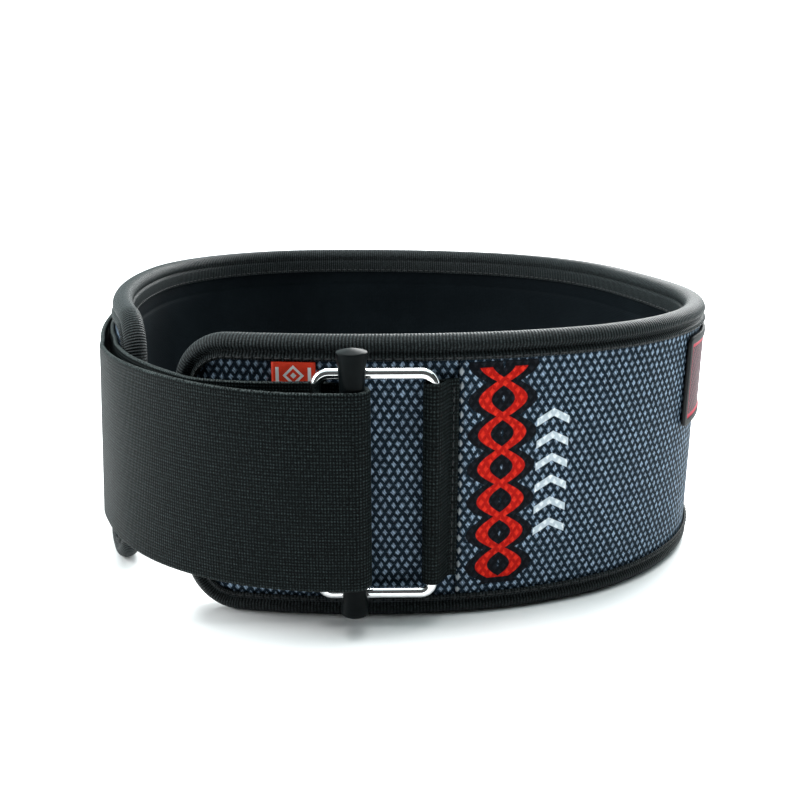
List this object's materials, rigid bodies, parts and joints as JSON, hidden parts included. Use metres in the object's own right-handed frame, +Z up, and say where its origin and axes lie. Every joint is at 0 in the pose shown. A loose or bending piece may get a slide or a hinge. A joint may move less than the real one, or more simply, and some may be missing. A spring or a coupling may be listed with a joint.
{
  "type": "weightlifting belt",
  "caption": "Padded woven weightlifting belt, curled and closed by a webbing strap folded round a locking bar on a wire ring, standing on its lower edge.",
  "frame": {"origin": "middle of the footprint's bounding box, on the surface that the belt stands on", "axes": "+Z up along the belt's width, the closure faces -Y, +X to the right as seen from the closure"},
  "size_m": [0.2576, 0.2608, 0.1],
  "materials": {
    "binding_tape": "black ribbed grosgrain tape, folded over the edge and stitched",
    "lining": "near-black smooth knitted lining over foam",
    "woven_cover": "woven diamond lozenges, grey-blue on a dark navy ground",
    "webbing": "black ribbed nylon webbing",
    "chrome_wire": "polished chrome wire",
    "bar_plastic": "matt black moulded plastic",
    "red_tag": "red woven satin tag with a plain white motif",
    "patch": "black patch with a red inner border and a fine hatch"
  },
  "bodies": {
    "root": {"padded_lining": "lining", "outer_cover_front": "woven_cover", "outer_cover_main": "woven_cover", "binding_top": "binding_tape", "binding_bottom": "binding_tape", "ring_tab": "webbing", "closure_strap": "webbing", "pull_tag": "red_tag", "side_patch": "patch", "buckle_ring": "chrome_wire", "locking_bar": "bar_plastic"}
  },
  "joints": []
}
